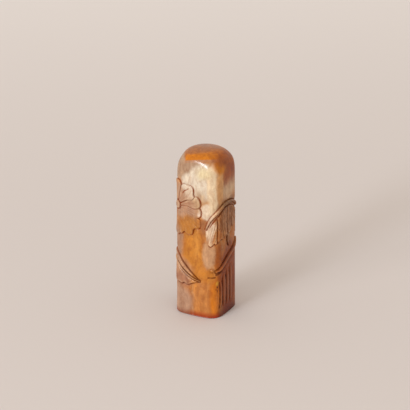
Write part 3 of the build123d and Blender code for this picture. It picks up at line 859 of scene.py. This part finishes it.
lobe_sides = [
    smooth_line([(6.3, 37.5), (5.8, 34.5), (6.0, 31.3)]),
    smooth_line([(9.7, 41.9), (9.9, 38.0), (9.75, 34.0), (9.6, 31.3)]),
    smooth_line([(13.1, 44.2), (12.6, 40.0), (12.9, 36.0), (13.4, 32.9)]),
    smooth_line([(16.5, 45.0), (16.2, 40.0), (16.3, 36.0), (16.7, 33.6)]),
    smooth_line([(20.3, 44.5), (20.0, 41.0), (19.9, 37.0), (20.2, 34.6)]),
    smooth_line([(23.7, 42.0), (23.9, 40.2), (23.5, 38.2)]),
]
root_middles = [(7.9, 40.0), (11.2, 43.1), (14.9, 44.9), (18.4, 45.0), (22.2, 43.5)]
lobe_roots = [
    smooth_line([left[0], middle, right[0]])
    for left, middle, right in zip(lobe_sides, root_middles, lobe_sides[1:])
]
lobe_tips = [
    smooth_line([
        (6.0, 31.3), (6.4, 30.4), (7.1, 30.1), (7.7, 30.6), (8.4, 31.2), (9.1, 30.9), (9.6, 31.3),
    ]),
    smooth_line([
        (9.6, 31.3), (10.4, 31.6), (11.2, 32.4), (12.0, 32.5), (12.8, 32.3), (13.4, 32.9),
    ]),
    smooth_line([(13.4, 32.9), (14.2, 32.7), (15.0, 33.3), (15.9, 33.1), (16.7, 33.6)]),
    smooth_line([(16.7, 33.6), (17.5, 33.3), (18.6, 33.4), (19.5, 34.0), (20.2, 34.6)]),
    smooth_line([(20.2, 34.6), (21.0, 34.9), (21.9, 35.8), (22.8, 36.9), (23.5, 38.2)]),
]
# The front lobe is cut rougher than the rest, with shallower veins, and fades out at one side
lobe_light = [0.05, -0.15, 0.5, -0.1, 0.7]
for k, (root, tip) in enumerate(zip(lobe_roots, lobe_tips)):
    front = k == 0
    left, right = lobe_sides[k], lobe_sides[k + 1]
    along, up, u, v = four_sided(left, right, root, tip)
    roughness, vein_depth = (1.6, 1) if front else (1.0, 2)
    strand = np.sin(2 * math.pi * (3.2 * v + 1.5 * u + 0.30 * np.sin(9 * u + 2 * k + 5 * v)))
    fray = np.sin(2 * math.pi * (6.5 * u + 2 * v))
    fray = fray * np.sin(2 * math.pi * (2 * u - 3.5 * v + 0.2 * k))
    turned_over = np.exp(-(((u - 0.92) / 0.1) ** 2))
    top = 0.16 + 0.12 * arch(v) * (1 - 0.5 * u) + 0.09 * turned_over
    top = top + roughness * (0.055 * strand + 0.03 * fray)
    # Paler strands: a painted highlight along the raised strands and fraying, over each lobe's own
    # share
    painted_highlight = np.clip(lobe_light[k] + roughness * (0.3 * strand + 0.35 * fray), 0, 1)
    veins = []
    for n, share in enumerate((0.16, 0.33, 0.5, 0.67, 0.84)):
        sway = 0.04 * math.sin(5.0 * n + 3.0 * k)
        low = 0.72 + 0.2 * math.sin(2.3 * n + 1.7 * k + 1.0)
        start, end = at_share(root, 0.5 + (share - 0.5) * 0.8), at_share(tip, share - 0.12)
        middle = between(left, right, 0.5, share + sway)
        depth = (0.02 + 0.03 * (n % 2)) * vein_depth
        veins.append((smooth_line([start, middle, start + (end - start) * low]), depth, 0.2))
    name, slot = f"leaf_lobe_{k + 1}", "pale_stone" if front else "dark_stone"
    firm = 0.15 + 0.85 * np.clip(v / 0.3, 0, 1) if front else 1.0
    raise_patch(name, along, up, top, [name], slot, veins, edge=firm, pale=painted_highlight)

for name, points, wide, edge in (
    ("leaf_stem", [(16.57, 32.5), (16.97, 30.3), (17.77, 28.1)], 1.1, 0.9),
    ("leaf_stalk", [(25.28, 41.5), (25.52, 38.3), (25.64, 34.6), (25.46, 30.95)], 1.2, 0.6),
):
    raise_ridge(
        name, smooth_line(points), tapered(wide / 2, 0.6), 0.06, 0.14, [name], "dark_stone",
        round_over=0.4, edge=edge,
    )

# Trailing leaf: a long narrow leaf that climbs the right face from a curled bud at the front
# corner, rounded across, with a heavy line scored along its lower edge.
trail_line = smooth_line([
    (8.78, 19.5), (10.9, 20.0), (13.4, 21.2), (16.4, 22.9), (19.2, 24.2), (22.0, 25.5),
    (24.0, 27.1), (25.28, 29.5),
])
lower_edge = [(shifted(trail_line, -0.95)[2:], 0.2, 0.5)]
raise_ridge(
    "trailing_leaf", trail_line, tapered(1.15, 0.35, 0.7), 0.22, 0.26, ["trailing_leaf"],
    "dark_stone", lower_edge, rows=120,
)
along, up, swell = spot_grid((7.63, 20.1), 1.75)
curl = [(smooth_line([(7.2, 19.7), (7.9, 19.7), (8.1, 20.3), (7.6, 20.7)]), 0.06, 0.2)]
raise_patch(
    "trailing_curl", along, up, 0.12 + 0.3 * swell, ["trailing_leaf_curl"], "dark_stone", curl,
    edge=0.45,
)

# Reeds: plain upright ridges side by side low on the right face, with deep lines between them.
# The first has a wider line beside it, and sinks into the ground towards the next.
reed_foot, reed_tall, reed_step, reed_bow = 3.6, 17.0, 2.7, 0.1
wide_score, fine_score = (2, -8, -0.45, 0.14, 0.32), (10, -10, 0.3, 0.05, 0.14)


def raise_reed(name, middle, share, score=None, fade=1.0):
    """Upright reed, bowed a little halfway, that narrows and sinks away at both ends, and to a
    share of its height at one side. A scored line runs beside its middle: the points where it
    begins and ends, its shift, depth and width."""
    tall = reed_tall * share
    bowed = (middle + reed_bow, reed_foot + tall / 2)
    line = smooth_line([(middle, reed_foot), bowed, (middle, reed_foot + tall)])
    along, up, u, v = ribbon(line, lambda u: 0.35 + 0.95 * np.sin(math.pi * u) ** 0.35, 120)
    edge = np.clip(np.minimum(u / 0.18, (1 - u) / 0.25), 0, 1)
    edge = edge * (fade + (1 - fade) * np.clip((1 - v) / 0.5, 0, 1))
    scored = []
    if score:
        first, last, shift, depth, wide = score
        scored.append((line[first:last] + (shift, 0.0), depth, wide))
    raise_patch(name, along, up, 0.10 + 0.28 * arch(v), [name], "dark_stone", scored, edge=edge)


for k, share in enumerate([0.72, 0.86, 0.93, 1.0]):
    score, fade = (wide_score, 0.1) if k == 0 else (fine_score, 1.0)
    raise_reed(f"reed_{k + 1}", 11.23 + reed_step * k, share, score, fade)

# Back face: a closed bud on a long stem, with one leaf beside the stem and two short reeds,
# in the same low relief as the sides that the photograph shows.
bud, bud_size, bud_root = np.array([34.9, 43.0]), 3.2, 1.8
for k, (start, end, length) in enumerate([(52, 76, 7.04), (76, 104, 8.0), (104, 128, 7.04)]):
    sides = []
    for a in (math.radians(start), math.radians(end)):
        way = np.array([math.cos(a), math.sin(a)])
        sides.append(np.linspace(bud + way * bud_root, bud + way * length * 0.88, line_points))
    left, right = sides
    tip = np.linspace(left[-1], right[-1], line_points)
    outwards = (tip - bud) / np.hypot(*(tip - bud).T)[:, None]
    bulge = np.sin(math.pi * np.linspace(0, 1, line_points)[:, None]) ** 0.7
    tip = tip + outwards * length * 0.13 * bulge
    root = np.linspace(left[0], right[0], line_points)
    along, up, u, v = four_sided(left, right, root, tip)
    name, top = f"bud_petal_{k + 1}", 0.2 + 0.28 * arch(v) * (0.4 + 0.6 * u)
    raise_patch(name, along, up, top, [name], "pale_stone")
along, up, swell = spot_grid(bud, bud_size)
raise_patch("bud_cup", along, up, 0.2 + 0.32 * swell, ["bud_cup"], "pale_stone")
bud_stem_line = smooth_line([(34.9, 41.1), (35.38, 29.85), (36.18, 16.7), (36.5, 3.6)])
raise_ridge(
    "bud_stem", bud_stem_line, tapered(0.6, 0.75), 0.16, 0.3, ["bud_stem"], "pale_stone", rows=120
)

back_rib = smooth_line([(31.7, 14.5), (31.52, 20.8), (31.02, 28.8), (30.2, 35.5)])
back_half = 0.75 + 1.6 * np.sin(math.pi * np.linspace(0, 1, line_points)[:, None] ** 0.8)
for name, way in (("back_leaf_outer", 1), ("back_leaf_inner", -1)):
    near, far = shifted(back_rib, way * blade_gap), shifted(back_rib, way * back_half)
    along, up, u, v = blade_grid(near, far, 30)
    veins = []
    for share in np.linspace(0.2, 0.85, 6):
        start, end = at_share(near, share - 0.04), at_share(far, share + 0.04)
        veins.append((smooth_line([start, end]), 0.05, 0.15))
    raise_patch(name, along, up, 0.12 + 0.22 * u**0.8, [f"{name}_blade"], "dark_stone", veins)
raise_ridge(
    "back_leaf_rib", back_rib, tapered(0.36, 0.5), 0.32, 0.08, ["back_leaf_midrib"], "dark_stone",
    round_over=0.3, pale=0.6, fine=0.14,
)
for k, share in enumerate([0.58, 0.5]):
    raise_reed(f"back_reed_{k + 1}", bud[0] + 1.6 + reed_step * (k + 1), share)

# The whole stone: the carved sides, the dome over them, and the foot with its plain border
# round a sunken field. It is all one block, from which the relief was left standing.
border, field_depth, crisp, foot_crisp = 1.2, 0.8, 0.03, 0.02
dome_rings, foot_steps, pole_shares = 50, 5, (0.25, 0.5, 0.75, 0.9, 0.995)

# A short scored line, three pits, and the line under the trailing leaf: line, depth and width
marks = [(smooth_line([(6.1, 17.15), (7.6, 17.1), (8.9, 17.2)]), 0.4, 0.32)]
for pit_along, pit_up, wide in ((9.7, 13.2, 0.3), (10.0, 11.5, 0.35), (9.2, 12.2, 0.22)):
    marks.append((np.array([(pit_along, pit_up), (pit_along + 0.1, pit_up - 0.3)]), 0.1, wide))
marks.append((shifted(trail_line, -1.3)[2:-6], 0.2, 0.5))
for line, depth, wide in marks:
    rows, columns, along, up = near_stone(line, 1.5)
    mark = np.exp(-((clear_of(line, along, up) / wide) ** 2))
    stone_out[rows, columns] -= depth * mark
    stone_cut[rows, columns] = np.maximum(stone_cut[rows, columns], mark)

sides = skin(stone_along, stone_up, stone_out)
dome_climb = np.sin(math.pi / 2 * np.linspace(0, 1, dome_rings + 2)[1:-1])
dome_points = skin(girth[None, :], (shoulder + dome * dome_climb)[:, None])
bend = np.linspace(0, math.pi / 2, foot_steps + 1)[:-1][::-1, None]
foot_edge = skin(girth, foot_round * (1 - np.sin(bend)), -foot_round * (1 - np.cos(bend)))
# Rings from the middle of the sunken field out to the foot's rounded edge. A second ring close
# beside each sharp edge keeps the smooth shading from rounding it.
inner = skin(girth, 0.0, -border)
ceiling = inner + (0, 0, field_depth / 1000)
foot_rings = [ceiling * (share, share, 1) for share in pole_shares]
foot_rings += [ceiling, inner + (0, 0, crisp / 1000), inner]
foot_rings += [skin(girth, 0.0, crisp - border), skin(girth, 0.0, -foot_round - foot_crisp)]
points = np.concatenate([np.stack(foot_rings), foot_edge, sides, dome_points])
row_count = len(points)
faces = grid_faces(row_count, girth_count, wrap=True).tolist()
points = points.reshape(-1, 3)
low_pole, high_pole = len(points), len(points) + 1
first, last = np.arange(girth_count), (row_count - 1) * girth_count + np.arange(girth_count)
faces += np.stack([np.roll(first, -1), first, np.full(girth_count, low_pole)], -1).tolist()
faces += np.stack([last, np.roll(last, -1), np.full(girth_count, high_pole)], -1).tolist()
points = np.concatenate([points, [(0, 0, field_depth / 1000), (0, 0, height / 1000)]])
cut = np.zeros((row_count, girth_count))
start = len(foot_rings) + foot_steps
cut[start:start + side_count] = stone_cut
cut = np.concatenate([cut.ravel(), [0.0, 0.0]])
make_piece("stone_column_carved", points, faces, {"cut": cut}, ["stone_column"])

# Seal face: a ring, a rosette and four corner dots standing in the sunken field
for node in ("seal_ring", "seal_rosette", "seal_corner_dots"):
    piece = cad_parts[node]
    piece.data.materials.clear()
    piece.data.materials.append(stone)
